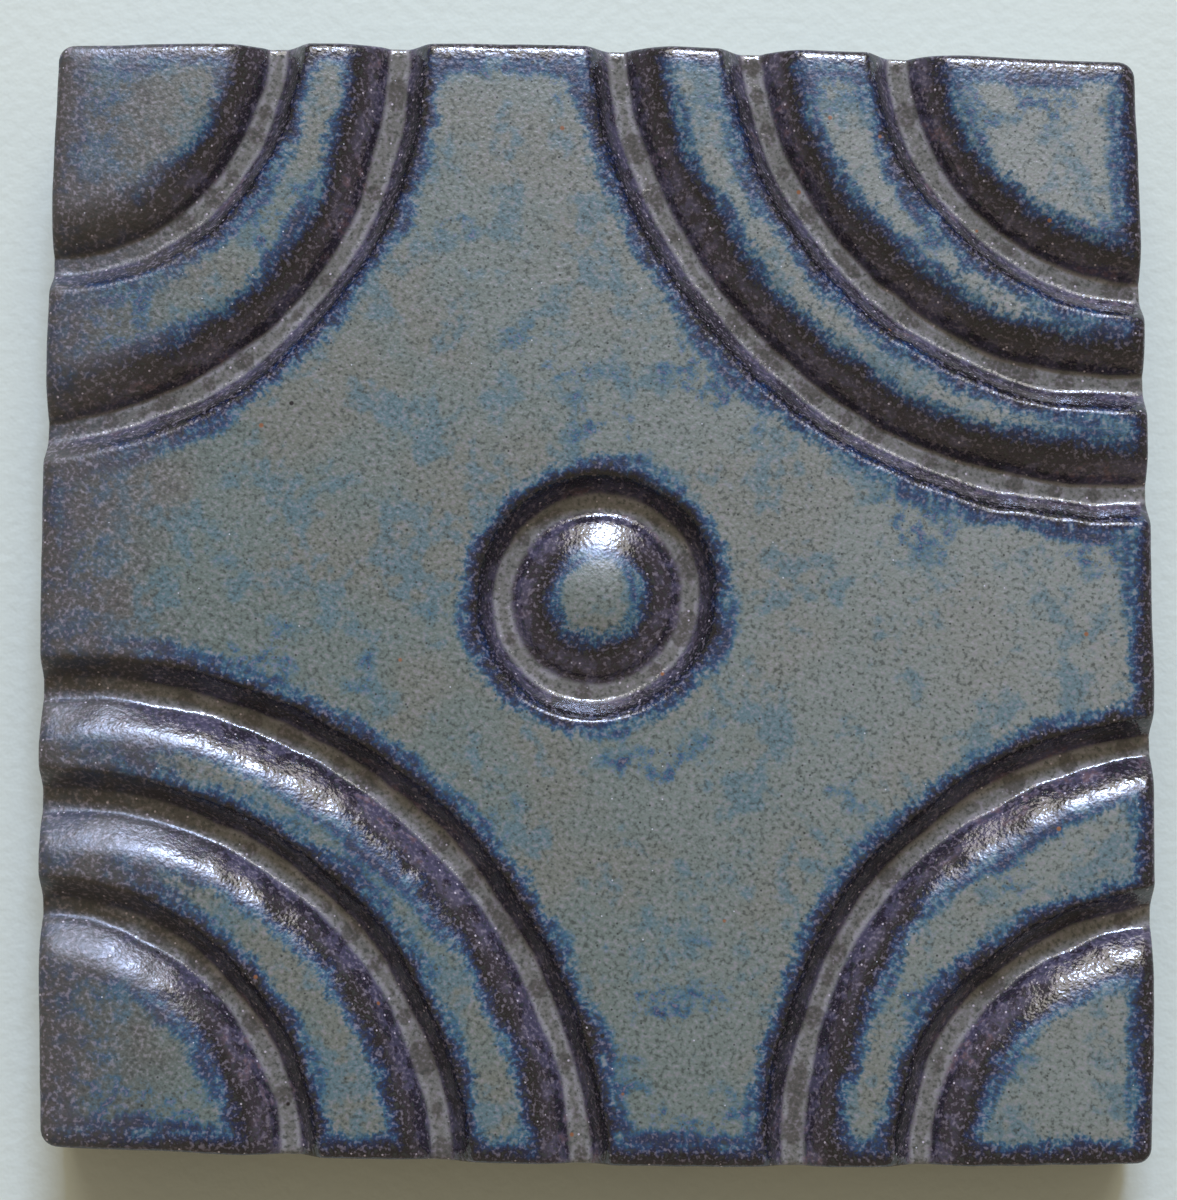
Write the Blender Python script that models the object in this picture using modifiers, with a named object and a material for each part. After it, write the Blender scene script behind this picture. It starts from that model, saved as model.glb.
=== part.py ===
"""A pressed stoneware wall tile with a relief face, lying on its flat back.

Metres, +Z up. The origin is the centre of the back, and the relief faces up.
The face has fans of curved grooves round its corners and a round cell with a dome at its centre.
Every groove has one steep side, a narrow floor and one long soft side.
"""

import math
from collections import namedtuple

import bmesh
import bpy
from mathutils import Vector

MM = 0.001

# Outline of the tile
WIDTH = 100.0 * MM
LENGTH = 101.5 * MM
THICKNESS = 12.0 * MM
SIDE_BOW = 0.9 * MM
OUT_OF_SQUARE = 1.6 * MM
CORNER_RADIUS = 1.6 * MM
FACE_ARRIS = 0.8 * MM
BACK_ARRIS = 0.4 * MM

# Section of a groove, from its floor up to the lands
GROOVE_DEPTH = 2.6 * MM
FLOOR_HALF_WIDTH = 0.9 * MM
STEEP_WIDTH = 1.5 * MM
STEEP_POINTS = 4
SOFT_POINTS = 5

# Round cell at the centre
CELL_FLOOR_RADIUS = 9.2 * MM
DOME_RADIUS = 8.0 * MM
DOME_DROP = 0.3 * MM
DOME_POINTS = 7

# A cutter stands this far proud of the face
CUTTER_CLEARANCE = 3.0 * MM
MERGE_DISTANCE = 0.01 * MM
GROOVE_STEPS = 84
CELL_STEPS = 48
OUTLINE_STEPS = 10
ARRIS_SEGMENTS = 3
SHARP_ANGLE = math.radians(35)

# A quarter circle drawn as one Bezier stretch has handles of this share of its radius
QUARTER_HANDLE = 0.5523

GLAZE_COLOUR = (0.165, 0.195, 0.195, 1.0)
GLAZE_ROUGHNESS = 0.38

# A groove is an arc round a point near a corner of the tile.
# Corner holds the signs of its x and y, shift moves the arc's centre outwards in x and y,
# radius is that of the middle of the floor, and soft is the width of the soft side.
Groove = namedtuple("Groove", "corner shift radius soft")

GROOVES = (
    Groove((-1, -1), (0.0, 0.0), 23.0 * MM, 5.0 * MM),
    Groove((-1, -1), (-2.0 * MM, 2.0 * MM), 34.5 * MM, 4.4 * MM),
    Groove((-1, -1), (-3.0 * MM, 3.5 * MM), 46.0 * MM, 4.8 * MM),
    Groove((1, 1), (0.5 * MM, 0.0), 23.0 * MM, 4.4 * MM),
    Groove((1, 1), (-2.0 * MM, 2.5 * MM), 34.0 * MM, 4.2 * MM),
    Groove((1, 1), (-3.0 * MM, 4.0 * MM), 45.5 * MM, 5.0 * MM),
    Groove((-1, 1), (0.0, 0.5 * MM), 21.0 * MM, 4.6 * MM),
    Groove((-1, 1), (2.5 * MM, -1.5 * MM), 34.5 * MM, 5.0 * MM),
    Groove((1, -1), (0.5 * MM, 0.0), 22.0 * MM, 5.2 * MM),
    Groove((1, -1), (3.0 * MM, -2.0 * MM), 35.5 * MM, 4.6 * MM),
)


def clear_scene():
    for item in list(bpy.data.objects):
        bpy.data.objects.remove(item)


def collection(name):
    made = bpy.data.collections.new(name)
    bpy.context.scene.collection.children.link(made)
    return made


def glaze_material():
    material = bpy.data.materials.new("satin_glaze")
    material.use_nodes = True
    shader = material.node_tree.nodes["Principled BSDF"]
    shader.inputs["Base Color"].default_value = GLAZE_COLOUR
    shader.inputs["Roughness"].default_value = GLAZE_ROUGHNESS
    shader.inputs["Metallic"].default_value = 0.0
    return material


def corner_points():
    """The tile's four corners before they are rounded, anticlockwise from the lower left.

    The right-hand side sits lower than the left. A bowed side that slopes has its highest point
    off its middle, and crown is how far that point stands above the higher corner.
    """
    half_x = WIDTH / 2 - SIDE_BOW
    crown = SIDE_BOW - OUT_OF_SQUARE / 2 + OUT_OF_SQUARE**2 / (16 * SIDE_BOW)
    high_y = LENGTH / 2 - crown
    low_y = high_y - OUT_OF_SQUARE
    return [
        Vector((-half_x, -low_y, 0)),
        Vector((half_x, -high_y, 0)),
        Vector((half_x, low_y, 0)),
        Vector((-half_x, high_y, 0)),
    ]


def outline_curve():
    """The closed outline: four bowed sides joined by small round corners."""
    curve = bpy.data.curves.new("outline", "CURVE")
    curve.dimensions = "2D"
    curve.fill_mode = "BOTH"
    curve.extrude = THICKNESS / 2
    curve.resolution_u = OUTLINE_STEPS
    spline = curve.splines.new("BEZIER")
    corners = corner_points()
    spline.bezier_points.add(2 * len(corners) - 1)
    spline.use_cyclic_u = True
    for number, corner in enumerate(corners):
        following = corners[(number + 1) % len(corners)]
        along = (following - corner).normalized()
        start = corner + along * CORNER_RADIUS
        end = following - along * CORNER_RADIUS
        chord = end - start
        outward = Vector((along.y, -along.x, 0))
        lift = chord / 3 + outward * SIDE_BOW * 4 / 3
        fall = -chord / 3 + outward * SIDE_BOW * 4 / 3
        quarter_turn = CORNER_RADIUS * QUARTER_HANDLE
        first = spline.bezier_points[2 * number]
        last = spline.bezier_points[2 * number + 1]
        for point in (first, last):
            point.handle_left_type = "FREE"
            point.handle_right_type = "FREE"
        first.co = start
        first.handle_right = start + lift
        first.handle_left = start - lift.normalized() * quarter_turn
        last.co = end
        last.handle_left = end + fall
        last.handle_right = end - fall.normalized() * quarter_turn
    return curve


def is_level(face, top):
    """Whether a face of the slab is part of its front, or of its back where top is false."""
    front = face.calc_center_median().z > THICKNESS / 2
    return abs(face.normal.z) > 0.5 and front == top


def slab(target, material):
    """The plain pressed slab, with its arrises marked for the Bevel modifier."""
    guide = bpy.data.objects.new("outline", outline_curve())
    guide.location.z = THICKNESS / 2
    target.objects.link(guide)
    bpy.context.view_layer.update()
    evaluated = guide.evaluated_get(bpy.context.evaluated_depsgraph_get())
    mesh = bpy.data.meshes.new_from_object(evaluated)
    mesh.transform(guide.matrix_world)
    bpy.data.objects.remove(guide)
    shape = bmesh.new()
    shape.from_mesh(mesh)
    bmesh.ops.remove_doubles(shape, verts=shape.verts, dist=MERGE_DISTANCE)
    for top in (True, False):
        flat = [face for face in shape.faces if is_level(face, top)]
        bmesh.ops.dissolve_faces(shape, faces=flat)
    bmesh.ops.recalc_face_normals(shape, faces=shape.faces)
    weight = shape.edges.layers.float.new("bevel_weight_edge")
    for edge in shape.edges:
        if any(is_level(face, True) for face in edge.link_faces):
            edge[weight] = 1.0
        elif any(is_level(face, False) for face in edge.link_faces):
            edge[weight] = BACK_ARRIS / FACE_ARRIS
    shape.to_mesh(mesh)
    shape.free()
    mesh.shade_smooth()
    mesh.set_sharp_from_angle(angle=SHARP_ANGLE)
    mesh.materials.clear()
    mesh.materials.append(material)
    tile = bpy.data.objects.new("relief_tile", mesh)
    target.objects.link(tile)
    bevel = tile.modifiers.new("arris", "BEVEL")
    bevel.limit_method = "WEIGHT"
    bevel.width = FACE_ARRIS
    bevel.segments = ARRIS_SEGMENTS
    return tile


def turned_cutter(name, profile, closed, centre, steps, target):
    """A cutter turned about a vertical axis through centre, from radius and height pairs."""
    mesh = bpy.data.meshes.new(name)
    edges = [(index, index + 1) for index in range(len(profile) - 1)]
    if closed:
        edges.append((len(profile) - 1, 0))
    mesh.from_pydata([(radius, 0.0, height) for radius, height in profile], edges, [])
    cutter = bpy.data.objects.new(name, mesh)
    cutter.location = (centre[0], centre[1], 0.0)
    cutter.hide_render = True
    cutter.display_type = "WIRE"
    target.objects.link(cutter)
    screw = cutter.modifiers.new("turn", "SCREW")
    screw.axis = "Z"
    screw.angle = math.tau
    screw.steps = steps
    screw.render_steps = steps
    screw.use_merge_vertices = True
    screw.merge_threshold = MERGE_DISTANCE
    return cutter


def steep_side(share):
    """Height of the steep side as a share of its rise: a soft S from the floor to the land."""
    return share * share * (3 - 2 * share)


def soft_side(share):
    """Height of the soft side as a share of its rise: straight off the floor, then rolling level."""
    return math.sin(math.pi / 2 * share)


def rising_side(start, end, rise, rule, count):
    """Radius and height pairs from the groove's floor at radius start up to radius end."""
    floor = THICKNESS - GROOVE_DEPTH
    shares = [index / count for index in range(count + 1)]
    return [(start + (end - start) * share, floor + rise * rule(share)) for share in shares]


def steep_wall(foot):
    """The steep side, from the land down to its foot at the floor."""
    return rising_side(foot, foot + STEEP_WIDTH, GROOVE_DEPTH, steep_side, STEEP_POINTS)[::-1]


def groove_profile(groove):
    """The closed section of a groove's cutter, down its steep outer side and up its soft inner one."""
    over = THICKNESS + CUTTER_CLEARANCE
    wall = steep_wall(groove.radius + FLOOR_HALF_WIDTH)
    foot = groove.radius - FLOOR_HALF_WIDTH
    slope = rising_side(foot, foot - groove.soft, GROOVE_DEPTH, soft_side, SOFT_POINTS)
    return [(wall[0][0], over), *wall, *slope, (slope[-1][0], over)]


def cell_profile():
    """The section of the round cell's cutter, which leaves the dome standing."""
    over = THICKNESS + CUTTER_CLEARANCE
    wall = steep_wall(CELL_FLOOR_RADIUS)
    dome = rising_side(DOME_RADIUS, 0.0, GROOVE_DEPTH - DOME_DROP, soft_side, DOME_POINTS)
    return [(0.0, over), (wall[0][0], over), *wall, *dome]


def arc_centre(groove):
    """Centre of a groove's arc: the tile's corner, moved along the sides."""
    return (
        groove.corner[0] * (WIDTH / 2 + groove.shift[0]),
        groove.corner[1] * (LENGTH / 2 + groove.shift[1]),
    )


def cut(tile, cutter):
    boolean = tile.modifiers.new(cutter.name, "BOOLEAN")
    boolean.operation = "DIFFERENCE"
    boolean.solver = "EXACT"
    boolean.object = cutter


def main():
    clear_scene()
    parts = collection("relief_tile")
    cutters = collection("cutters")
    tile = slab(parts, glaze_material())
    for number, groove in enumerate(GROOVES, start=1):
        name = f"groove_cutter_{number}"
        profile = groove_profile(groove)
        cut(tile, turned_cutter(name, profile, True, arc_centre(groove), GROOVE_STEPS, cutters))
    cell = turned_cutter("cell_cutter", cell_profile(), False, (0.0, 0.0), CELL_STEPS, cutters)
    cut(tile, cell)


main()
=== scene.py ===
"""Looks of a pressed stoneware relief tile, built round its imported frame.

Lengths in the rules for the relief and the glaze are in millimetres. Meshes, objects and properties
are in metres.
"""

import math
from collections import namedtuple

import bmesh
import bpy
import numpy as np
from bpy.props import FloatProperty, FloatVectorProperty, PointerProperty
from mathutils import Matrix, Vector, noise


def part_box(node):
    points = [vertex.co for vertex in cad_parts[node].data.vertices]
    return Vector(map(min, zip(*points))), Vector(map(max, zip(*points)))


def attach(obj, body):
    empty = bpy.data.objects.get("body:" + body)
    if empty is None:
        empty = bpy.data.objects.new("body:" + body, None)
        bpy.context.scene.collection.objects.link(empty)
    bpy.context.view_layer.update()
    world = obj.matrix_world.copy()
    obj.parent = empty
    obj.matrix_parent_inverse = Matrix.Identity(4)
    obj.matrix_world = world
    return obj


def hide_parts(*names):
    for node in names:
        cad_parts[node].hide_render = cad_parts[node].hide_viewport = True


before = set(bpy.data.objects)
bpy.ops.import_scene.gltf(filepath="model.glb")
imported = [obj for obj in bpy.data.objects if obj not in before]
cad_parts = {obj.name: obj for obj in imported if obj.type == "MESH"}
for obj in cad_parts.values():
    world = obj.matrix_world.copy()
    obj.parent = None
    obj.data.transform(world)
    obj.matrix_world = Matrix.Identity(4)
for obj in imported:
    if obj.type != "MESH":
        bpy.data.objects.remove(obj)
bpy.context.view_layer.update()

bl_info = {
    "name": "Relief Tile",
    "version": (1, 0, 0),
    "blender": (4, 5, 0),
    "location": "View3D > Sidebar > Relief Tile",
    "description": "Models a pressed relief tile, glazes it and lights it",
    "category": "Object",
}

TILE_NODE = "relief_tile"
TILE_LOW, TILE_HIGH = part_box(TILE_NODE)
MM = 0.001

# Blank: the cells of its face, which are halved near a groove's floor, first within the coarse
# margin and again within the fine one, and at the corners
FACE_CELL = 1.0
COARSE_MARGIN = 6.4
FINE_MARGIN = 2.5
CORNER_REACH = 3.4

# Rings round the face: the arris, then the side wall down from its top, closer together at the lower
# edge of the glaze, then the foot. The back's last ring is drawn in to a share of the foot.
RING_STEP = 1.0 * MM
ARRIS_RINGS = 5
ARRIS_DROP = 0.28
WALL_TOP = 7.6
WALL_STEP = 0.9
FINE_WALL_STEP = 0.25
FINE_WALL_REACH = 1.0
FOOT_ARRIS = 0.4
FOOT_ARRIS_MIDDLE = 0.3 * FOOT_ARRIS
BACK_SHARE = 0.93
SHARP_ANGLE = math.radians(55)

# Glaze on the side wall: it ends at a wavy line above the foot, with a roll along that line. The
# line's waves fade out over the top of the wall.
GLAZE_LINE = 3.0
GLAZE_LINE_FADE = 3.0
GLAZE_COAT = 0.16
COAT_REACH = 0.3
GLAZE_ROLL = 0.1
ROLL_HEIGHT = 0.4
ROLL_WIDTH = 0.35

# Unevenness of the pressed clay. A wave has a reach, a size of its lumps and a seed, which shifts its
# noise by so many seed steps. The reach of the line and pinch waves is a share of the form's wander,
# and that of the depth wave a share of a groove's depth.
Wave = namedtuple("Wave", "reach size seed")
LINE_WAVES = (Wave(1.0, 14.0, 1), Wave(0.4, 4.0, 9))
PINCH_WAVES = (Wave(0.6, 7.0, 2), Wave(0.3, 2.2, 10))
GLAZE_LINE_WAVE = Wave(0.8, 8.0, 3)
OUTLINE_WAVE = Wave(0.09, 6.0, 4)
DEPTH_WAVE = Wave(0.08, 11.0, 5)
LAND_WAVE = Wave(0.05, 9.0, 6)
BEADS = Wave(0.13, 2.4, 7)
SKIN_WAVE = Wave(0.022, 1.7, 8)
RIM_CHIPS = Wave(0.05, 2.6, 11)
SEED_STEP = (13.7, 7.3, 3.1)
BEAD_FADE = 0.4

# Soft rim: how far it sinks and how far in it reaches, as a wide pillow and a narrow shoulder, and
# how far in the outline's unevenness is felt
PILLOW = 0.12
PILLOW_REACH = 5.0
SHOULDER = 0.38
SHOULDER_REACH = 0.85
OUTLINE_FADE = 5.0

# Photo: its height in pixels, its scale at the face and the point of the face at its middle
IMAGE_HEIGHT = 1200
PIXELS_PER_MM = 11.2
AIM_X = -0.7
AIM_Y = -0.5

# Studio, in metres but for the camera's sensor
FLOOR_SIZE = 3.0
WINDOW_PLACE = (0.1, 1.5, 1.2)
WINDOW_SIZE = (0.5, 0.21)
WALL_PLACE = (0.08, 1.65, 1.35)
WALL_SIZE = (1.65, 1.35)
CLIP_START = 0.01
SENSOR_WIDTH = 36.0

# Relief: lines and depths as on the solid, with floors that the glaze narrows and steep sides that it
# eases. The fillet is a share of a soft side, and pooled glaze reaches a little past each floor. The
# least radius keeps the cell's very centre from dividing by nought.
FLOOR_HALF = 0.65
STEEP = 2.4
FILLET = 0.16
POOL = 0.18
CELL_POOL = 0.15
CELL_FLOOR_RADIUS = 9.2
DOME_RADIUS = 8.0
DOME_DROP = 0.3
LEAST_RADIUS = 0.01

# Where the glaze breaks: past the steep side's edge, this share of the way up a soft side or the
# dome, and in from the rim
STEEP_BREAK = -0.2
SOFT_BREAK = 0.66
DOME_BREAK = 0.42
RIM_BREAK = 1.15

# Side wall's marks: its glaze is broken at the rim and thickens on the way down, and neither it nor
# the rim has a groove's floor near it
WALL_LAND = 3.2
WALL_LAND_START = 1.2
WALL_LAND_REACH = 4.0
FAR_FLOOR = 20.0

Groove = namedtuple("Groove", "corner shift radius soft")
GROOVES = (
    Groove((-1, -1), (0.0, 0.0), 23.0, 5.0),
    Groove((-1, -1), (-2.0, 2.0), 34.5, 4.4),
    Groove((-1, -1), (-3.0, 3.5), 46.0, 4.8),
    Groove((1, 1), (0.5, 0.0), 23.0, 4.4),
    Groove((1, 1), (-2.0, 2.5), 34.0, 4.2),
    Groove((1, 1), (-3.0, 4.0), 45.5, 5.0),
    Groove((-1, 1), (0.0, 0.5), 21.0, 4.6),
    Groove((-1, 1), (2.5, -1.5), 34.5, 5.0),
    Groove((1, -1), (0.5, 0.0), 22.0, 5.2),
    Groove((1, -1), (3.0, -2.0), 35.5, 4.6),
)

# What the glaze reads at each point of the tile: depth is 0 on a land and 1 on a floor, land and
# floor are distances in millimetres into the glazed land and out of a groove's floor, foot_x and
# foot_y are the nearest point of a groove's line or of the outline
Marks = namedtuple("Marks", "depth land floor foot_x foot_y")


def hex_colour(text):
    """A hex sRGB colour as linear red, green, blue and alpha."""
    parts = [int(text[start:start + 2], 16) / 255 for start in (1, 3, 5)]
    linear = [part / 12.92 if part <= 0.04045 else ((part + 0.055) / 1.055) ** 2.4 for part in parts]
    return (*linear, 1.0)


def length_property(name, description, default):
    return FloatProperty(name=name, description=description, default=default, unit="LENGTH")


def power_property(name, description, default):
    return FloatProperty(name=name, description=description, default=default, unit="POWER")


def colour_property(name, description, default):
    return FloatVectorProperty(
        name=name, description=description, default=hex_colour(default), size=4, subtype="COLOR"
    )


class ReliefTileForm(bpy.types.PropertyGroup):
    """Sizes of the pressed tile."""

    width: length_property("Width", "Widest part of the tile", TILE_HIGH.x - TILE_LOW.x)
    length: length_property("Length", "Longest part of the tile", TILE_HIGH.y - TILE_LOW.y)
    thickness: length_property("Thickness", "From the back to the lands", TILE_HIGH.z - TILE_LOW.z)
    bow: length_property("Side bow", "How far a side swells at its middle", 0.9 * MM)
    skew: length_property("Skew", "How far the right side sits below the left", 1.6 * MM)
    corner: length_property("Corner radius", "Radius of the corners in plan", 1.6 * MM)
    arris: length_property("Arris", "Radius of the edge round the face", 0.8 * MM)
    depth: length_property("Groove depth", "From the lands to a groove's floor", 2.6 * MM)
    inset: length_property("Inset", "Room left between the tile and its solid", 0.12 * MM)
    wander: length_property("Wander", "How far a pressed line strays from true", 0.36 * MM)


class ReliefTileGlaze(bpy.types.PropertyGroup):
    """Colours of the breaking glaze, from where it lies thick to where it runs thin, and of the clay."""

    thick: colour_property("Thick", "Grey-green of the lands", "#65736a")
    # The lands turn lighter towards the upper right
    upper_right_land: colour_property("Thick, pale", "Palest glaze, towards the upper right", "#8f948b")
    thick_warm: colour_property("Thick, warm", "Warmer clouds in the lands", "#6e7367")
    thick_cool: colour_property("Thick, cool", "Blue-green clouds in the lands", "#4a6f78")
    teal: colour_property("Teal", "Blue-green next to an edge", "#2a6076")
    blue: colour_property("Blue", "Blue beside the break", "#0d385f")
    navy: colour_property("Navy", "Blue line where the glaze breaks", "#08193c")
    violet: colour_property("Violet", "Violet black at the break", "#0e0e20")
    break_dark: colour_property("Break", "Darkest brown below the break", "#0d0a10")
    thin: colour_property("Thin", "Brown of the slopes", "#28222d")
    thin_cool: colour_property("Thin, cool", "Purple clouds in the slopes", "#4a4658")
    pooled: colour_property("Pooled", "Warm grey of the groove floors", "#6f6f68")
    # Paler line along each floor's edge: partly the pooled glaze's lip, partly a painted highlight
    pooled_lip_and_highlight: colour_property("Pooled, lip", "Paler line at both sides of a floor", "#91908f")
    dry: colour_property("Dry", "Brown-grey where the glaze was wiped thin", "#47433f")
    dry_cool: colour_property("Dry, cool", "Blue-grey clouds in the wiped glaze", "#39404c")
    speck: colour_property("Specks", "Iron specks", "#343b38")
    crystal: colour_property("Crystals", "Pale crystals in the glaze, and grog in the clay", "#9a9198")
    # Pale specks of the slopes: partly pale crystals, partly painted glints of light
    grit_and_glint: colour_property("Grit", "Pale specks of the slopes", "#c2b8be")
    # Painted glints: rare white specks that stand in for glints of light off the glaze
    sparkle: colour_property("Sparkle", "Rare white sparkles", "#c4c8ce")
    copper: colour_property("Copper", "Warm grains in the thin glaze", "#805c50")
    rust: colour_property("Rust", "Rare rusty specks", "#8a5b3c")
    clay: colour_property("Clay", "Bare fired stoneware", "#8d7a68")
    clay_dark: colour_property("Clay, toasted", "Clay darkened by the kiln", "#5d4a3e")


class ReliefTileStudio(bpy.types.PropertyGroup):
    """Camera and light."""

    distance: length_property("Camera distance", "From the camera to the face", 0.26)
    tilt: FloatProperty(
        name="Camera tilt", description="Lean of the camera towards the lower side",
        default=math.radians(5.2), subtype="ANGLE",
    )
    window: power_property("Window", "Power of the window light", 34.0)
    window_colour: colour_property("Window colour", "Cool light of the window", "#b8ceff")
    wall: power_property("Wall", "Power of the pale wall's light", 26.7)
    wall_colour: colour_property("Wall colour", "Light of the pale wall round the window", "#faf3e8")
    sky: FloatProperty(name="Room", description="Strength of the light all round", default=0.31)
    sky_colour: colour_property("Room colour", "Warmer light of the room", "#ffedd7")
    paint: colour_property("Paint", "Colour of the painted floor", "#d7dfd0")


def deselect_all():
    if bpy.context.object and bpy.context.object.mode != "OBJECT":
        bpy.ops.object.mode_set(mode="OBJECT")
    bpy.ops.object.select_all(action="DESELECT")


def smooth_step(share):
    share = np.clip(share, 0, 1)
    return share * share * (3 - 2 * share)


def lumps(x, y, *waves):
    """The sum of some waves at each point. Each is smooth noise, of about its reach either way."""
    total = np.zeros_like(x)
    for wave in waves:
        shift = Vector([step * wave.seed for step in SEED_STEP])
        heights = [noise.noise(Vector((a, b, 0.0)) / wave.size + shift) for a, b in zip(x, y)]
        total += wave.reach * np.array(heights)
    return total


def swell(x, y, wave):
    """A wave raised by its own reach, so that it only adds."""
    return wave.reach + lumps(x, y, wave)


# Outline

def round_corners(x, y, half_x, half_y, radius):
    """Bends the corners of a rectangle of points round, and gives each point's outward direction."""
    over_x = np.abs(x) - (half_x - radius)
    over_y = np.abs(y) - (half_y - radius)
    corner = (over_x > 0) & (over_y > 0)
    reach = np.hypot(over_x, over_y)
    reach[reach == 0] = 1.0
    shrink = np.where(corner, np.maximum(over_x, over_y) / reach, 1.0)
    new_x = np.where(corner, np.sign(x) * (half_x - radius + over_x * shrink), x)
    new_y = np.where(corner, np.sign(y) * (half_y - radius + over_y * shrink), y)
    side_x = (half_x - np.abs(x)) < (half_y - np.abs(y))
    out_x = np.where(corner, np.sign(x) * over_x / reach, np.where(side_x, np.sign(x), 0.0))
    out_y = np.where(corner, np.sign(y) * over_y / reach, np.where(side_x, 0.0, np.sign(y)))
    return new_x, new_y, out_x, out_y


def bow_outline(x, y, form):
    """Swells the sides and drops the right-hand side, as on the solid.

    The crown is the most that a bowed and skewed side gains, so the tile keeps its length.
    """
    half_x, half_y = form.width / MM / 2, form.length / MM / 2
    bow, skew = form.bow / MM, form.skew / MM
    crown = bow + skew ** 2 / (16 * bow)
    u, v = x / half_x, y / half_y
    new_x = x - bow * u * v * v
    new_y = y - v * (crown - bow * (1 - u * u)) - skew / 2 * u
    return new_x, new_y


# Relief

def soft_rise(share):
    """Height of a soft side as a share of its rise: a small fillet at its foot, then rolling level."""
    share = np.clip(share, 0, 1)
    return np.sin(math.pi / 2 * share) * smooth_step(share / FILLET)


def groove_marks(groove, x, y, form, wander, pinch):
    """The marks of one groove. Across runs from its line towards its corner, on the soft side."""
    centre_x = groove.corner[0] * (form.width / MM / 2 + groove.shift[0])
    centre_y = groove.corner[1] * (form.length / MM / 2 + groove.shift[1])
    away_x, away_y = x - centre_x, y - centre_y
    radius = np.hypot(away_x, away_y)
    across = groove.radius + wander - radius
    half = FLOOR_HALF + pinch
    steep = smooth_step((-across - half) / STEEP)
    width = groove.soft + 2 * pinch
    soft = soft_rise((across - half) / width)
    steep_land = -across - (half + STEEP + STEEP_BREAK)
    soft_land = across - (half + width * SOFT_BREAK)
    return Marks(
        1 - np.where(across < 0, steep, soft),
        np.maximum(steep_land, soft_land),
        np.abs(across) - half - POOL,
        centre_x + away_x * groove.radius / radius,
        centre_y + away_y * groove.radius / radius,
    )


def cell_marks(x, y, form, wander, pinch):
    """The marks of the round cell and its dome."""
    radius = np.maximum(np.hypot(x, y) + wander, LEAST_RADIUS)
    wall = smooth_step((radius - CELL_FLOOR_RADIUS + POOL) / STEEP)
    dome = soft_rise((DOME_RADIUS - radius) / DOME_RADIUS)
    top = 1 - DOME_DROP * MM / form.depth
    wall_land = radius - (CELL_FLOOR_RADIUS - POOL + STEEP + STEEP_BREAK)
    dome_land = DOME_RADIUS * (1 - DOME_BREAK) - radius
    line = (CELL_FLOOR_RADIUS + DOME_RADIUS) / 2
    half = (CELL_FLOOR_RADIUS - DOME_RADIUS) / 2 + CELL_POOL + pinch / 2
    return Marks(
        1 - np.where(radius > line, wall, dome * top),
        np.maximum(wall_land, dome_land),
        np.abs(radius - line) - half,
        x / radius * line,
        y / radius * line,
    )


def edge_marks(x, y, edge, out_x, out_y):
    """The marks of the rim: the glaze breaks along it, and it has no groove of its own."""
    return Marks(
        np.zeros_like(x),
        edge - RIM_BREAK,
        np.full_like(x, FAR_FLOOR),
        x + out_x * edge,
        y + out_y * edge,
    )


def all_marks(x, y, edge, out_x, out_y, form):
    """The deepest groove, the nearest break and the nearest floor at each point."""
    wander = form.wander / MM * lumps(x, y, *LINE_WAVES)
    pinch = form.wander / MM * lumps(x, y, *PINCH_WAVES)
    found = [groove_marks(groove, x, y, form, wander, pinch) for groove in GROOVES]
    found.append(cell_marks(x, y, form, wander, pinch))
    found.append(edge_marks(x, y, edge, out_x, out_y))
    nearest = np.argmin([marks.land for marks in found], axis=0)
    place = np.arange(len(x))
    return Marks(
        np.max([marks.depth for marks in found], axis=0),
        np.min([marks.land for marks in found], axis=0),
        np.min([marks.floor for marks in found], axis=0),
        np.array([marks.foot_x for marks in found])[nearest, place],
        np.array([marks.foot_y for marks in found])[nearest, place],
    )


# Blank

def wall_levels():
    """Heights of the side wall's rings, from under the face to the foot, closer at the glaze line."""
    fine_top, fine_low = GLAZE_LINE + FINE_WALL_REACH, GLAZE_LINE - FINE_WALL_REACH / 2
    coarse = round((WALL_TOP - fine_top) / WALL_STEP)
    fine = round((fine_top - fine_low) / FINE_WALL_STEP)
    levels = list(np.linspace(WALL_TOP, fine_top, coarse, endpoint=False))
    return [*levels, *np.linspace(fine_top, fine_low, fine + 1), (fine_low + FOOT_ARRIS) / 2, FOOT_ARRIS]


def ring_plan(form):
    """Outward step and height of the face and of each ring outside it, in millimetres.

    The last two rings lie at one place, and the back's ring is drawn in afterwards.
    """
    arris, top = form.arris / MM, form.thickness / MM
    turns = [math.pi / 2 * index / ARRIS_RINGS for index in range(ARRIS_RINGS + 1)]
    rings = [(arris * math.sin(turn), top - ARRIS_DROP * (1 - math.cos(turn))) for turn in turns]
    rings += [(arris, level) for level in wall_levels()]
    rings.append((arris - FOOT_ARRIS_MIDDLE, FOOT_ARRIS_MIDDLE))
    return rings + [(arris - FOOT_ARRIS, 0.0)] * 2


def near_relief(x, y, form, margin):
    """Which points of the blank lie within a margin of a groove's floor, or at a corner."""
    half_x, half_y = form.width / MM / 2, form.length / MM / 2
    still = np.zeros_like(x)
    bowed_x, bowed_y = bow_outline(x, y, form)
    floors = [groove_marks(groove, bowed_x, bowed_y, form, still, still).floor for groove in GROOVES]
    floors.append(cell_marks(bowed_x, bowed_y, form, still, still).floor)
    corner_gap = np.maximum(half_x - np.abs(x), half_y - np.abs(y))
    return (np.min(floors, axis=0) < margin) | (corner_gap < CORNER_REACH)


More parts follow.
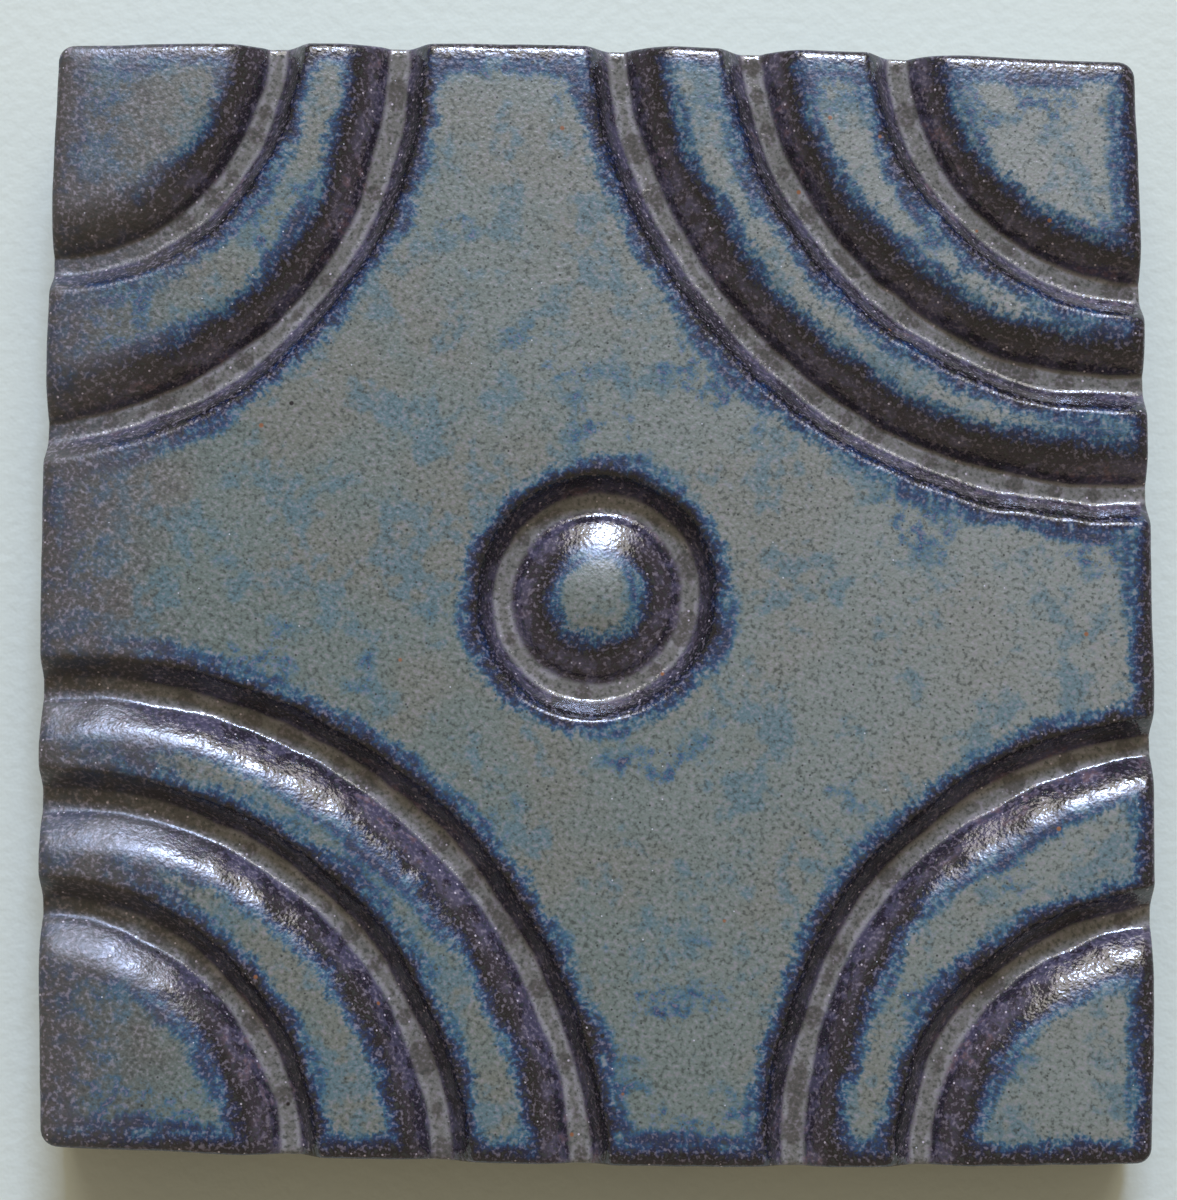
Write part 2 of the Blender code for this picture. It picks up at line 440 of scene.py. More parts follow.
def halve_cells(tile, form, margin):
    """Halves the cells of the face that lie within a margin of a groove's floor."""
    bpy.ops.mesh.select_mode(type="FACE")
    bpy.ops.mesh.select_all(action="DESELECT")
    mesh = bmesh.from_edit_mesh(tile.data)
    middles = np.array([face.calc_center_median().to_tuple() for face in mesh.faces]) / MM
    for face, near in zip(mesh.faces, near_relief(middles[:, 0], middles[:, 1], form, margin)):
        face.select_set(bool(near))
    bmesh.update_edit_mesh(tile.data)
    bpy.ops.mesh.subdivide(number_cuts=1, ngon=False, quadcorner="INNERVERT")


def press_blank(form):
    """The flat blank: a grid that is finer under the grooves, then its side wall and back.

    Each ring of the wall hangs one step below the last, which is how the shaping knows it.
    """
    arris = form.arris / MM
    face_x, face_y = form.width / MM - 2 * arris, form.length / MM - 2 * arris
    bpy.ops.mesh.primitive_grid_add(
        x_subdivisions=round(face_x / FACE_CELL), y_subdivisions=round(face_y / FACE_CELL),
        size=face_x * MM, location=(0, 0, form.thickness),
    )
    tile = bpy.context.object
    tile.name = "glazed_relief_tile"
    bpy.ops.object.transform_apply(location=True, rotation=True, scale=True)
    bpy.ops.object.mode_set(mode="EDIT")
    bpy.ops.mesh.select_all(action="SELECT")
    bpy.ops.transform.resize(value=(1, face_y / face_x, 1), center_override=(0, 0, form.thickness))
    halve_cells(tile, form, COARSE_MARGIN)
    halve_cells(tile, form, FINE_MARGIN)
    bpy.ops.mesh.select_all(action="SELECT")
    bpy.ops.mesh.region_to_loop()
    for _ in ring_plan(form)[1:]:
        bpy.ops.mesh.extrude_edges_move(TRANSFORM_OT_translate={"value": (0, 0, -RING_STEP)})
    bpy.ops.mesh.edge_face_add()
    bpy.ops.mesh.select_all(action="SELECT")
    bpy.ops.mesh.normals_make_consistent(inside=False)
    bpy.ops.object.mode_set(mode="OBJECT")
    return tile


# Shaping

def glaze_skin(height):
    """How far the glaze stands out at a height above its lower edge, with the roll at that edge."""
    roll = np.exp(-(((height - ROLL_HEIGHT) / ROLL_WIDTH) ** 2))
    return GLAZE_COAT * smooth_step(height / COAT_REACH) + GLAZE_ROLL * roll


def line_swing(level):
    """How much of the glaze line's waves a level of the side wall takes: all of them at the line."""
    rising = smooth_step((level - FOOT_ARRIS) / (GLAZE_LINE - FOOT_ARRIS))
    return rising * smooth_step((WALL_TOP - level) / GLAZE_LINE_FADE)


def sink(edge, marks, x, y, form):
    """How far the face lies below the level of a true slab: grooves, soft rim and uneven skin."""
    deep = form.depth / MM * (1 + lumps(x, y, DEPTH_WAVE))
    inside = np.maximum(edge, 0.0)
    rim = PILLOW * np.exp(-inside / PILLOW_REACH) + SHOULDER * np.exp(-inside / SHOULDER_REACH)
    beads = np.clip(lumps(marks.foot_x, marks.foot_y, BEADS), 0, BEADS.reach)
    beads = beads * smooth_step(-marks.floor / BEAD_FADE)
    skin = swell(x, y, LAND_WAVE) + swell(x, y, SKIN_WAVE)
    return marks.depth * deep + rim * (1 - marks.depth) + beads + skin


def shape_blank(tile, form):
    """Moves the blank's points to the tile's outline and relief, and keeps what the glaze reads.

    It gives back each point's height above the glaze's lower edge, in millimetres.

    The relief is a rule for each point, because no tool presses a groove into a finished surface
    with one steep and one soft side and an outline that strays as a hand-pressed one does.
    """
    points = np.empty(len(tile.data.vertices) * 3)
    tile.data.vertices.foreach_get("co", points)
    x, y, z = (points.reshape(-1, 3) / MM).T
    plan = ring_plan(form)
    ring = np.rint((form.thickness - z * MM) / RING_STEP).astype(int)
    face, back = ring <= ARRIS_RINGS, ring == len(plan) - 1
    step, level = np.array(plan)[ring].T
    half_x, half_y = form.width / MM / 2, form.length / MM / 2
    arris = form.arris / MM
    edge = np.minimum(half_x - np.abs(x), half_y - np.abs(y)) - step
    x, y, out_x, out_y = round_corners(x, y, half_x - arris, half_y - arris, form.corner / MM - arris)
    skirt = level - GLAZE_LINE
    level = level + lumps(x, y, GLAZE_LINE_WAVE) * line_swing(level)
    skin = np.where(face, 0.0, glaze_skin(skirt) - GLAZE_COAT)
    gap = form.inset / MM + swell(x, y, OUTLINE_WAVE) + lumps(x, y, RIM_CHIPS)
    push = step + skin - gap * np.exp(-np.maximum(edge, 0.0) / OUTLINE_FADE)
    x, y = bow_outline(x + out_x * push, y + out_y * push, form)
    marks = all_marks(x, y, np.maximum(edge, 0.0), out_x, out_y, form)
    z = level - np.where(face, sink(edge, marks, x, y, form), 0.0)
    x, y = np.where(back, x * BACK_SHARE, x), np.where(back, y * BACK_SHARE, y)
    tile.data.vertices.foreach_set("co", (np.stack([x, y, z], axis=1) * MM).ravel())
    keep_marks(tile.data, marks, face, z, form)
    tile.data.update()
    return skirt


def keep_marks(mesh, marks, face, z, form):
    """Keeps what the glaze reads at each point as attributes of the mesh."""
    fall = form.thickness / MM - z - WALL_LAND_START
    wall_land = -RIM_BREAK + WALL_LAND * smooth_step(fall / WALL_LAND_REACH)
    values = {
        "land_mm": np.where(face, marks.land, wall_land),
        "floor_mm": np.where(face, marks.floor, FAR_FLOOR),
    }
    for name, kept in values.items():
        mesh.attributes.new(name, "FLOAT", "POINT").data.foreach_set("value", kept)
    foot = mesh.attributes.new("foot_mm", "FLOAT_VECTOR", "POINT")
    foot.data.foreach_set("vector", np.stack([marks.foot_x, marks.foot_y, z], axis=1).ravel())


# Materials

# Kinds of node: Blender's name, the settings, the inputs that values go to in order, and the output
Kind = namedtuple("Kind", "name settings inputs output")
COORDINATES = Kind("ShaderNodeTexCoord", {}, (), "Object")
LAND = Kind("ShaderNodeAttribute", {"attribute_name": "land_mm"}, (), "Fac")
FLOOR = Kind("ShaderNodeAttribute", {"attribute_name": "floor_mm"}, (), "Fac")
FOOT = Kind("ShaderNodeAttribute", {"attribute_name": "foot_mm"}, (), "Vector")
GRAIN = Kind("ShaderNodeTexNoise", {}, ("Vector", "Scale", "Detail", "Roughness"), "Fac")
CELLS = Kind("ShaderNodeTexVoronoi", {}, ("Vector", "Scale"), "Distance")
RAMP = Kind("ShaderNodeValToRGB", {}, ("Fac",), "Color")
SHARE = Kind("ShaderNodeMapRange", {}, ("Value", "From Min", "From Max"), 0)
WHERE = Kind(
    "ShaderNodeMapRange", {"interpolation_type": "SMOOTHSTEP"},
    ("Value", "From Min", "From Max", "To Max"), 0,
)
MIX = Kind("ShaderNodeMix", {}, (0, 2, 3), 0)
BLEND = Kind("ShaderNodeMix", {"data_type": "RGBA"}, (0, 6, 7), 2)
LESS = Kind("ShaderNodeMath", {"operation": "SUBTRACT"}, (0, 1), 0)
TIMES = Kind("ShaderNodeMath", {"operation": "MULTIPLY"}, (0, 1), 0)
TIMES_PLUS = Kind("ShaderNodeMath", {"operation": "MULTIPLY_ADD"}, (0, 1, 2), 0)
AT_MOST = Kind("ShaderNodeMath", {"operation": "MINIMUM"}, (0, 1), 0)
AT_LEAST = Kind("ShaderNodeMath", {"operation": "MAXIMUM"}, (0, 1), 0)
IS_BELOW = Kind("ShaderNodeMath", {"operation": "LESS_THAN"}, (0, 1), 0)
IS_NEAR = Kind("ShaderNodeMath", {"operation": "COMPARE"}, (0, 1, 2), 0)
SCALED = Kind("ShaderNodeVectorMath", {"operation": "SCALE"}, (0, "Scale"), "Vector")
STRETCHED = Kind("ShaderNodeVectorMath", {"operation": "MULTIPLY_ADD"}, (0, 1, 2), "Vector")
ALONG = Kind("ShaderNodeVectorMath", {"operation": "DOT_PRODUCT"}, (0, 1), "Value")
TURNED = Kind("ShaderNodeMapping", {}, ("Vector", "Rotation"), "Vector")
UPRIGHT = Kind("ShaderNodeCombineXYZ", {}, ("Z",), "Vector")
SIDEWAYS = Kind("ShaderNodeSeparateXYZ", {}, (0,), "X")
RED = Kind("ShaderNodeSeparateColor", {}, (0,), 0)
BUMP = Kind("ShaderNodeBump", {}, ("Strength", "Distance", "Height"), "Normal")


def grain_of(size, detail=2.0, roughness=0.55):
    """What a grain takes to have a size in millimetres: its scale, detail and roughness."""
    return 1 / size, detail, roughness


# Grains of the glaze, the clay and the paint. Their values run from about 0.3 to 0.7.
FINE = grain_of(0.38, 2.0, 0.5)
MOTTLE = grain_of(1.3, 4.0, 0.62)
PATCH = grain_of(4.5, 2.0, 0.6)
BROAD = grain_of(13.0)
STREAK = grain_of(0.4, 1.0)
OVAL = grain_of(2.4, 0.0)
CRYSTALS = grain_of(0.4, 1.0)
ORANGE_PEEL = grain_of(1.6, 0.0)
DRAG = grain_of(0.4, 1.0)
TOAST = grain_of(14.0, 4.0)
SAND = grain_of(0.5, 3.0)
CLAY_GRIT = grain_of(0.6, 4.0)
STIPPLE = grain_of(1.3)
GRAIN_MIDDLE = 0.5

# Turn of the fine grain about each axis. Streaks lie across a groove, four times as long as wide, and
# drag marks along it, ten times.
GRAIN_TURN = (0.6, 0.5, 0.4)
STREAK_STRETCH = (1.0, 1.0, 0.25)
DRAG_STRETCH = (0.1, 0.1, 0.0)

# Each drift below says how far a value strays by each grain. Each band says at which value a look
# starts, at which it is full, and how full that is where it isn't 1.

# Glaze by its thickness in millimetres: full glaze, the break's colours and bare slopes
THICKNESS_DRIFT = {"streak": 1.5, "fine": 1.5, "mottle": 2.4, "patch": 2.6}
FULL_GLAZE = (0.7, 1.7)
BARE = (-0.2, -0.6)
Stop = namedtuple("Stop", "colour thickness")
BREAK_STOPS = (
    Stop("violet", -0.5),
    Stop("navy", 0.05),
    Stop("blue", 0.5),
    Stop("teal", 0.95),
    Stop("thick", 1.7),
)

# Blue clouds: rarer inwards for the first stretch of a land, and more common by the wiped side. They
# thin the glaze from its cap, and leave the least of it.
CLOUD_DEPTH = 9.0
CLOUD_FALL = -0.02
CLOUD_BY_WIPED = 0.3
CLOUD_DRIFT = {"patch": 0.4}
CLOUD_LAND = (0.4, 1.4)
CLOUD_COVER = (0.41, 0.6)
CLOUD_THINNING = {"mottle": 4.5, "fine": 2.4}
CLOUD_CAP = 2.2
CLOUD_LEAST = 0.12
CLOUD_RIM = (0.4, 1.2)

# Lands: khaki clouds, blue-green clouds, and lighter lands along a way to the upper right
KHAKI = (0.56, 0.42)
COOL_DRIFT = {"mottle": 0.6}
COOL = (0.5, 0.66, 0.7)
PALE_WAY = (0.85, 0.4, 0.0)
PALE_DRIFT = {"broad": 50.0}
PALE = (-30.0, 75.0, 0.85)

# Slopes: purple clouds, copper grains and the dark strip below the break
PURPLE_DRIFT = {"mottle": 1.2}
PURPLE = (0.42, 0.6)
COPPER = (0.5, 0.6)
COPPER_GRAINS = (0.52, 0.66, 0.4)
BREAK_DRIFT = {"mottle": 1.8}
BELOW_BREAK = (-0.4, -1.5)

# Groove floors: the pooled glaze, its paler lips, which are partly painted highlights, and its darker
# ovals, which are rounded towards the middle of the floor
POOL_DRIFT = {"fine": 0.9}
POOLED = (0.3, -0.2)
LIP_DRIFT = {"fine": 0.5, "mottle": 0.9}
LIP = (-0.55, -0.1)
LIP_PATCHES = (0.36, 0.6)
OVAL_ROUNDING = -0.16
OVALS = (0.62, 0.7, 0.7)

# Wiped side, by the place across the tile in millimetres
WIPED_DRIFT = {"broad": 18.0, "patch": 16.0, "mottle": 12.0, "fine": 8.0}
WIPED = (-33.0, -51.0)
DRY_DRIFT = {"mottle": 0.8}
DRY_COOL = (0.46, 0.64)
DRY_GRAIN = (0.5, 0.76, 0.26)

# Iron and pale grain all over, then one speck at most in each cell: a kind of speck takes the cells
# whose random draw lies between its first and last, and has a radius in millimetres
IRON_GRAIN = (0.5, 0.28, 0.74)
PALE_GRAIN = (0.5, 0.72, 0.44)
Speck = namedtuple("Speck", "colour first last radius")
SPECK_SPACING = 0.9
SPECK_CORE = 0.55
SPECKS = (
    Speck("speck", 0.0, 0.5, 0.13),
    # painted glints: white specks that stand in for glints of light
    Speck("sparkle", 0.5, 0.57, 0.09),
    Speck("break_dark", 0.57, 0.573, 0.26),
    Speck("rust", 0.573, 0.575, 0.26),
)

# Sheen of the glaze, as roughness, and heights of its skin in millimetres
SATIN = 0.38
GLOSSY = 0.16
DRY = 0.5
THIN_SHEEN = (1.0, -0.6)
SHEEN_DRIFT = {"mottle": 0.3}
GLAZE_IOR = 1.74
CRYSTAL_HEIGHT = 0.05
PEEL_HEIGHT = 0.03
DRAG_HEIGHT = 0.01

# Clay: toasted patches, sand, and dots of iron and grog. Dots lie in a share of their cells.
Dots = namedtuple("Dots", "spacing radius share")
IRON_DOTS = Dots(1.3, 0.2, 0.35)
GROG_DOTS = Dots(1.9, 0.25, 0.4)
DOT_CORE = 0.5
TOASTED = (0.42, 0.66)
SANDY = (0.5, 0.72, 0.5)
CLAY_HEIGHT = 0.2
CLAY_ROUGHNESS = 0.88

# Painted floor
STIPPLE_HEIGHT = 0.09
PAINT_ROUGHNESS = 0.8


def fill(tree, node, inputs):
    """Fills a node's inputs. A value that is another node's output is linked."""
    for key, value in inputs.items():
        if isinstance(value, bpy.types.NodeSocket):
            tree.links.new(value, node.inputs[key])
        else:
            node.inputs[key].default_value = value


def add(tree, kind, *values):
    """Adds a node of a kind with its settings and its values, and gives back its output."""
    node = tree.nodes.new(kind.name)
    for name, setting in kind.settings.items():
        setattr(node, name, setting)
    fill(tree, node, dict(zip(kind.inputs, values)))
    return node.outputs[kind.output]


def new_material(name):
    """A material with its tree, its shader and its coordinates in millimetres."""
    material = bpy.data.materials.new(name)
    material.use_nodes = True
    tree = material.node_tree
    place = add(tree, SCALED, add(tree, COORDINATES), 1 / MM)
    return material, tree, tree.nodes["Principled BSDF"], place


def stray(tree, value, spot, drift):
    """The value moved by each grain of a drift, by up to about a fifth of its reach each way."""
    for name, reach in drift.items():
        centred = add(tree, LESS, getattr(spot, name), GRAIN_MIDDLE)
        value = add(tree, TIMES_PLUS, centred, reach, value)
    return value


def dots(tree, place, kind):
    """Round dots, one at most in each cell."""
    distance = add(tree, CELLS, place, 1 / kind.spacing)
    reach = kind.radius / kind.spacing
    near = add(tree, WHERE, distance, reach, reach * DOT_CORE)
    drawn = add(tree, RED, distance.node.outputs["Color"])
    return add(tree, TIMES, near, add(tree, IS_BELOW, drawn, kind.share))


# What the glaze reads at each point: its place, its marks and the grains that its patterns share.
# Away is the height of the land mark, as a vector.
Spot = namedtuple("Spot", "place turned land floor foot away fine streak mottle patch broad")


def read_spot(tree, place):
    """The tile's marks and the glaze's grains, each made once.

    The fine grain is turned, because a layer of its cells that lies level with the face shows as a
    net. A streak keeps to its foot, because the melted glaze ran across the break there.
    """
    land, foot = add(tree, LAND), add(tree, FOOT)
    away = add(tree, UPRIGHT, land)
    turned = add(tree, TURNED, place, GRAIN_TURN)
    return Spot(
        place=place, turned=turned, land=land, floor=add(tree, FLOOR), foot=foot, away=away,
        fine=add(tree, GRAIN, turned, *FINE),
        streak=add(tree, GRAIN, add(tree, STRETCHED, away, STREAK_STRETCH, foot), *STREAK),
        mottle=add(tree, GRAIN, place, *MOTTLE),
        patch=add(tree, GRAIN, place, *PATCH),
        broad=add(tree, GRAIN, place, *BROAD),
    )


def clouded(tree, spot, thick, wiped):
    """The thickness with thin blue clouds of 5 to 15 mm on the lands, by breaks and the wiped side."""
    depth = add(tree, AT_MOST, spot.land, CLOUD_DEPTH)
    inward = add(tree, TIMES_PLUS, depth, CLOUD_FALL, spot.broad)
    beside = add(tree, TIMES_PLUS, wiped, CLOUD_BY_WIPED, stray(tree, inward, spot, CLOUD_DRIFT))
    cover = add(tree, WHERE, beside, *CLOUD_COVER)
    cover = add(tree, TIMES, add(tree, WHERE, spot.land, *CLOUD_LAND), cover)
    cloud = add(tree, TIMES, cover, stray(tree, 1.0, spot, CLOUD_THINNING))
    thinned = add(tree, LESS, add(tree, AT_MOST, thick, CLOUD_CAP), cloud)
    floored = add(tree, AT_LEAST, thinned, CLOUD_LEAST)
    return add(tree, MIX, add(tree, WHERE, spot.land, *CLOUD_RIM), thick, floored)


def land_colour(tree, spot, glaze):
    """The thick glaze: sage with khaki and blue-green clouds of 3 to 15 mm, palest at the upper right."""
    body = add(tree, BLEND, add(tree, WHERE, spot.broad, *KHAKI), glaze.thick, glaze.thick_warm)
    across = stray(tree, add(tree, ALONG, spot.place, PALE_WAY), spot, PALE_DRIFT)
    body = add(tree, BLEND, add(tree, WHERE, across, *PALE), body, glaze.upper_right_land)
    cool = add(tree, WHERE, stray(tree, spot.patch, spot, COOL_DRIFT), *COOL)
    return add(tree, BLEND, cool, body, glaze.thick_cool)


def glazed_colour(tree, spot, thick, glaze):
    """The glaze's colour by its thickness in millimetres from the break."""
    low, high = BREAK_STOPS[0].thickness, BREAK_STOPS[-1].thickness
    ramp = add(tree, RAMP, add(tree, SHARE, thick, low, high))
    stops = ramp.node.color_ramp.elements
    while len(stops) < len(BREAK_STOPS):
        stops.new(1.0)
    for stop, wanted in zip(stops, BREAK_STOPS):
        stop.position = (wanted.thickness - low) / (high - low)
        stop.color = getattr(glaze, wanted.colour)
    full = add(tree, WHERE, thick, *FULL_GLAZE)
    return add(tree, BLEND, full, ramp, land_colour(tree, spot, glaze))


def slope_colour(tree, spot, glaze):
    """The thin glaze: near black at the break, then brown with purple and copper clouds."""
    purple = add(tree, WHERE, stray(tree, spot.patch, spot, PURPLE_DRIFT), *PURPLE)
    body = add(tree, BLEND, purple, glaze.thin, glaze.thin_cool)
    grains = add(tree, WHERE, spot.mottle, *COPPER_GRAINS)
    copper = add(tree, TIMES, add(tree, WHERE, spot.broad, *COPPER), grains)
    body = add(tree, BLEND, copper, body, glaze.copper)
    below = add(tree, WHERE, stray(tree, spot.land, spot, BREAK_DRIFT), *BELOW_BREAK)
    return add(tree, BLEND, below, glaze.break_dark, body)


def floor_colour(tree, spot, glaze):
    """Glaze pooled in a groove: warm grey, a paler lip each side, partly a painted highlight, and darker
    ovals.
    """
    # The paler lip along each floor's edge is partly a painted highlight
    edge = add(tree, WHERE, stray(tree, spot.floor, spot, LIP_DRIFT), *LIP)
    lip = add(tree, TIMES, edge, add(tree, WHERE, spot.patch, *LIP_PATCHES))
    body = add(tree, BLEND, lip, glaze.pooled, glaze.pooled_lip_and_highlight)
    lens = add(tree, TIMES_PLUS, spot.floor, OVAL_ROUNDING, add(tree, GRAIN, spot.foot, *OVAL))
    return add(tree, BLEND, add(tree, WHERE, lens, *OVALS), body, glaze.dry)


def wiped_side(tree, spot):
    """The left-hand border, about 12 mm wide, where the glaze was wiped and stayed dry."""
    side = add(tree, SIDEWAYS, spot.place)
    return add(tree, WHERE, stray(tree, side, spot, WIPED_DRIFT), *WIPED)


def wiped_colour(tree, spot, glaze):
    """Brown-grey and blue-grey, mixed at 2 to 5 mm, with a fine pale grain."""
    cool = add(tree, WHERE, stray(tree, spot.patch, spot, DRY_DRIFT), *DRY_COOL)
    body = add(tree, BLEND, cool, glaze.dry, glaze.dry_cool)
    return add(tree, BLEND, add(tree, WHERE, spot.fine, *DRY_GRAIN), body, glaze.crystal)


def specked(tree, spot, under, bare, glaze):
    """Specks of 0.2 to 0.5 mm, iron dark on the lands and pale where bare, and rare painted glints and
    pits.
    """
    iron = add(tree, BLEND, add(tree, WHERE, spot.fine, *IRON_GRAIN), under, glaze.speck)
    colour = add(tree, BLEND, add(tree, WHERE, spot.fine, *PALE_GRAIN), iron, glaze.crystal)
    distance = add(tree, CELLS, spot.place, 1 / SPECK_SPACING)
    drawn = add(tree, RED, distance.node.outputs["Color"])
    # Specks on bare slopes take the pale grit, partly painted glints of light
    speck = add(tree, BLEND, bare, glaze.speck, glaze.grit_and_glint)
    for kind in SPECKS:
        reach = kind.radius / SPECK_SPACING
        near = add(tree, WHERE, distance, reach, reach * SPECK_CORE)
        middle = (kind.first + kind.last) / 2
        chosen = add(tree, IS_NEAR, drawn, middle, kind.last - middle)
        over = speck if kind.colour == "speck" else getattr(glaze, kind.colour)
        colour = add(tree, BLEND, add(tree, TIMES, near, chosen), colour, over)
    return colour


def glaze_sheen(tree, spot, wiped):
    """Roughness: satin on the lands, glossier where it ran thin, and drier where it was wiped."""
    smooth = add(tree, MIX, add(tree, WHERE, spot.land, *THIN_SHEEN), SATIN, GLOSSY)
    return add(tree, MIX, wiped, stray(tree, smooth, spot, SHEEN_DRIFT), DRY)


def skin_bump(tree, spot):
    """Fine crystals, a soft orange peel and drag marks along each groove.

    The real crystals are too fine to show, so they are drawn as coarse as 0.4 mm.
    """
    height = add(tree, TIMES, add(tree, GRAIN, spot.turned, *CRYSTALS), CRYSTAL_HEIGHT)
    peel = add(tree, GRAIN, spot.place, *ORANGE_PEEL)
    height = add(tree, TIMES_PLUS, peel, PEEL_HEIGHT, height)
    drag = add(tree, GRAIN, add(tree, STRETCHED, spot.foot, DRAG_STRETCH, spot.away), *DRAG)
    height = add(tree, TIMES_PLUS, drag, DRAG_HEIGHT, height)
    return add(tree, BUMP, 1.0, MM, height)


def glaze_material(glaze):
    """Satin stoneware glaze, poured and fired until it broke over the edges.

    The eye gets grey-green lands where it lies thick, a ragged blue line where it breaks, and dark
    brown slopes where it ran off. Fine crystals in it keep its shine soft and grainy.
    """
    material, tree, shader, place = new_material("breaking_satin_stoneware_glaze")
    spot = read_spot(tree, place)
    wiped = wiped_side(tree, spot)
    thick = clouded(tree, spot, stray(tree, spot.land, spot, THICKNESS_DRIFT), wiped)
    bare = add(tree, WHERE, thick, *BARE)
    body = add(tree, BLEND, bare, glazed_colour(tree, spot, thick, glaze), slope_colour(tree, spot, glaze))
    pooled = add(tree, WHERE, stray(tree, spot.floor, spot, POOL_DRIFT), *POOLED)
    filled = add(tree, BLEND, pooled, body, floor_colour(tree, spot, glaze))
    worn = add(tree, BLEND, wiped, filled, wiped_colour(tree, spot, glaze))
    fill(tree, shader, {
        "Base Color": specked(tree, spot, worn, bare, glaze),
        "Roughness": glaze_sheen(tree, spot, wiped),
        "Normal": skin_bump(tree, spot),
        "IOR": GLAZE_IOR,
    })
    return material


def clay_colour(tree, place, glaze):
    """Bare stoneware: buff clay toasted in patches by the kiln, with iron specks and pale grog."""
    toast = add(tree, WHERE, add(tree, GRAIN, place, *TOAST), *TOASTED)
    body = add(tree, BLEND, toast, glaze.clay, glaze.clay_dark)
    sand = add(tree, WHERE, add(tree, GRAIN, place, *SAND), *SANDY)
    body = add(tree, BLEND, sand, body, glaze.clay_dark)
    body = add(tree, BLEND, dots(tree, place, IRON_DOTS), body, glaze.speck)
    return add(tree, BLEND, dots(tree, place, GROG_DOTS), body, glaze.crystal)


def clay_material(glaze):
    """Fired stoneware clay, pressed and left bare: matt, buff and brown, gritty with grog."""
    material, tree, shader, place = new_material("bare_fired_stoneware")
    height = add(tree, TIMES, add(tree, GRAIN, place, *CLAY_GRIT), CLAY_HEIGHT)
    fill(tree, shader, {
        "Base Color": clay_colour(tree, place, glaze),
        "Roughness": CLAY_ROUGHNESS,
        "Normal": add(tree, BUMP, 1.0, MM, height),
    })
    return material


def paint_material(studio):
    """Rolled wall paint: matt and pale, with the fine stipple that the roller leaves."""
    material, tree, shader, place = new_material("rolled_matt_paint")
    height = add(tree, TIMES, add(tree, GRAIN, place, *STIPPLE), STIPPLE_HEIGHT)
    fill(tree, shader, {
        "Base Color": studio.paint,
        "Roughness": PAINT_ROUGHNESS,
        "Normal": add(tree, BUMP, 1.0, MM, height),
    })
    return material


# Operators

def coat(tile, skirt, glaze):
    """Gives the tile its glaze down to the glaze line, and bare clay below it and on its back.

    A face is clay where no point of it lies above the line.
    """
    tile.data.materials.append(glaze_material(glaze))
    tile.data.materials.append(clay_material(glaze))
    for face in tile.data.polygons:
        face.material_index = int(max(skirt[point] for point in face.vertices) < FINE_WALL_STEP / 2)


class OBJECT_OT_press_relief_tile(bpy.types.Operator):
    """Press the tile's blank, shape its relief and glaze it"""

    bl_idname = "object.press_relief_tile"
    bl_label = "Press Relief Tile"
    bl_options = {"REGISTER", "UNDO"}

    def execute(self, context):
        form = context.scene.relief_tile_form
        deselect_all()
        tile = press_blank(form)
        skirt = shape_blank(tile, form)
        bpy.ops.object.shade_smooth_by_angle(angle=SHARP_ANGLE)
        coat(tile, skirt, context.scene.relief_tile_glaze)
        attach(tile, "root")
        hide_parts(TILE_NODE)
        return {"FINISHED"}


class OBJECT_OT_set_relief_tile_studio(bpy.types.Operator):
    """Lay the painted floor and set the lights and the camera"""

    bl_idname = "object.set_relief_tile_studio"
    bl_label = "Set Studio"
    bl_options = {"REGISTER", "UNDO"}

    def execute(self, context):
        studio = context.scene.relief_tile_studio
        deselect_all()
        lay_floor(studio)
        hang_light("window", WINDOW_PLACE, WINDOW_SIZE, studio.window, studio.window_colour)
        hang_light("pale_wall", WALL_PLACE, WALL_SIZE, studio.wall, studio.wall_colour)
        light_room(context.scene, studio)
        place_camera(context.scene, studio)
        return {"FINISHED"}


def lay_floor(studio):
    bpy.ops.mesh.primitive_plane_add(size=FLOOR_SIZE, location=(0, 0, 0))
    floor = bpy.context.object
    floor.name = "painted_floor"
    floor.data.materials.append(paint_material(studio))


def hang_light(name, place, size, power, colour):
    """A soft light that faces the tile from beyond its top."""
    place = Vector(place)
    bpy.ops.object.light_add(type="AREA", location=place)
    light = bpy.context.object
    light.name = name
    light.rotation_euler = place.to_track_quat("Z", "Y").to_euler()
    light.data.shape = "RECTANGLE"
    light.data.size, light.data.size_y = size
    light.data.energy = power
    light.data.color = colour[:3]


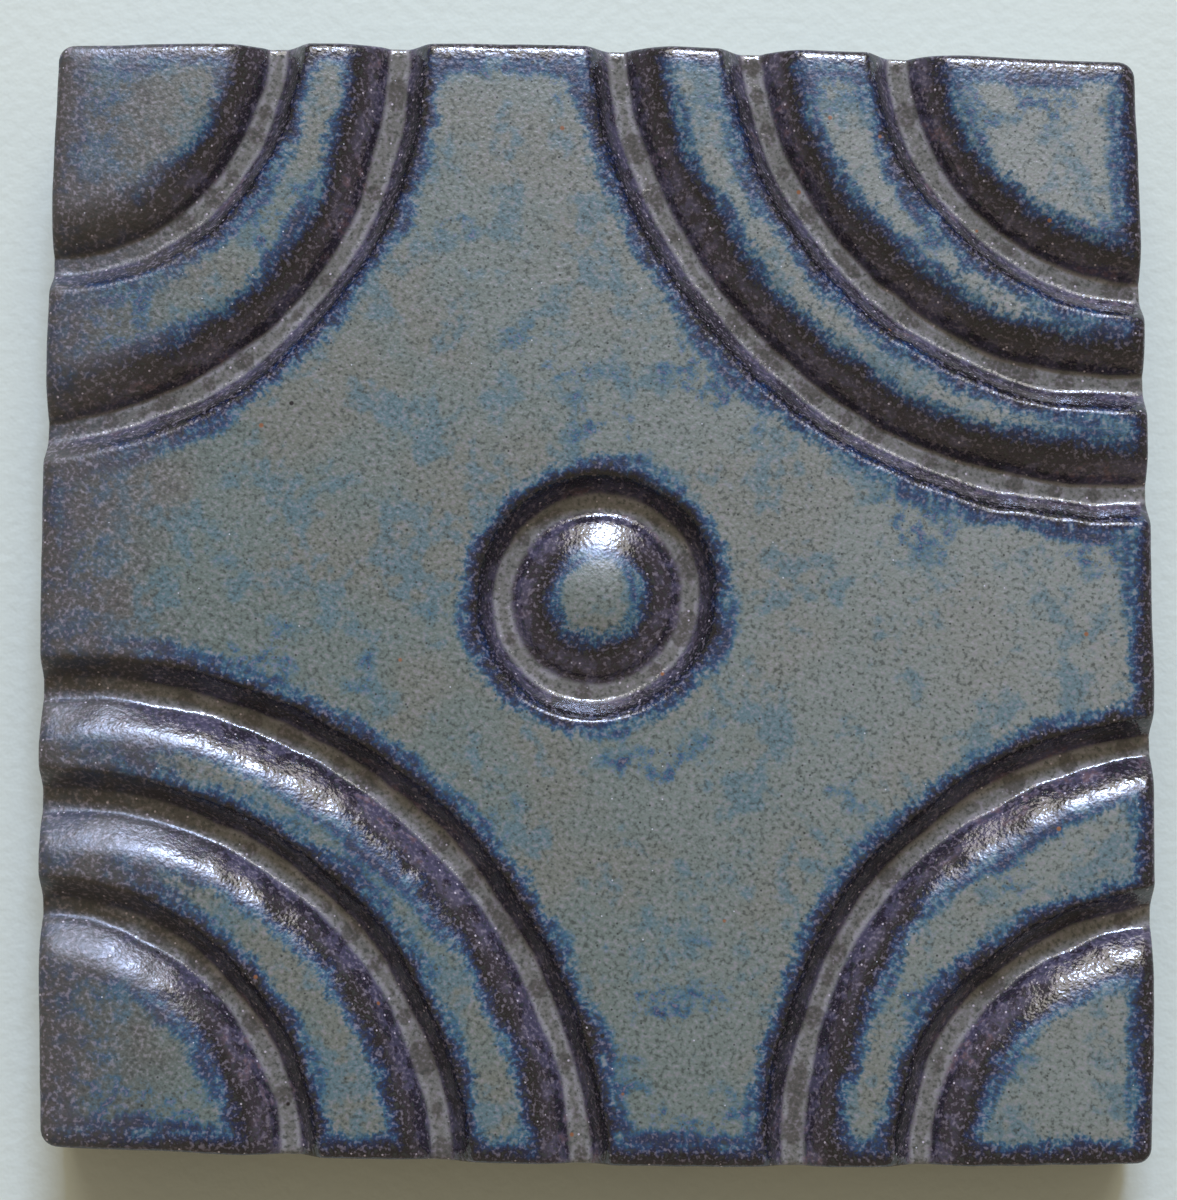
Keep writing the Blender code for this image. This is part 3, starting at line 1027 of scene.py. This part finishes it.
def light_room(scene, studio):
    """Even light from all round."""
    scene.world = bpy.data.worlds.new("studio_room")
    scene.world.use_nodes = True
    room = scene.world.node_tree.nodes["Background"]
    room.inputs["Color"].default_value = studio.sky_colour
    room.inputs["Strength"].default_value = studio.sky
    scene.view_settings.view_transform = "Standard"


def place_camera(scene, studio):
    """Looks down at the face, leaning a little from its lower side, as the photo does."""
    aim = Vector((AIM_X * MM, AIM_Y * MM, TILE_HIGH.z))
    back = Vector((0.0, -math.sin(studio.tilt), math.cos(studio.tilt)))
    bpy.ops.object.camera_add(location=aim + back * studio.distance)
    camera = bpy.context.object
    camera.rotation_euler = (studio.tilt, 0.0, 0.0)
    camera.data.sensor_width = SENSOR_WIDTH
    camera.data.lens = PIXELS_PER_MM * studio.distance / MM * SENSOR_WIDTH / IMAGE_HEIGHT
    camera.data.clip_start = CLIP_START
    scene.camera = camera


class VIEW3D_PT_relief_tile(bpy.types.Panel):
    """Lists the tile's operators and settings"""

    bl_label = "Relief Tile"
    bl_idname = "VIEW3D_PT_relief_tile"
    bl_space_type = "VIEW_3D"
    bl_region_type = "UI"
    bl_category = "Relief Tile"

    def draw(self, context):
        for group, operator in STEPS.items():
            box = self.layout.box()
            settings = getattr(context.scene, group)
            for name in GROUPS[group].__annotations__:
                box.prop(settings, name)
            if operator:
                box.operator(operator)


GROUPS = {
    "relief_tile_form": ReliefTileForm,
    "relief_tile_glaze": ReliefTileGlaze,
    "relief_tile_studio": ReliefTileStudio,
}
STEPS = {
    "relief_tile_form": "",
    "relief_tile_glaze": "object.press_relief_tile",
    "relief_tile_studio": "object.set_relief_tile_studio",
}
CLASSES = (
    *GROUPS.values(),
    OBJECT_OT_press_relief_tile,
    OBJECT_OT_set_relief_tile_studio,
    VIEW3D_PT_relief_tile,
)


def register():
    for shown in CLASSES:
        bpy.utils.register_class(shown)
    for name, group in GROUPS.items():
        setattr(bpy.types.Scene, name, PointerProperty(type=group))


def unregister():
    for name in GROUPS:
        delattr(bpy.types.Scene, name)
    for shown in reversed(CLASSES):
        bpy.utils.unregister_class(shown)


def main():
    register()
    bpy.ops.object.press_relief_tile()
    bpy.ops.object.set_relief_tile_studio()


if __name__ == "__main__":
    main()
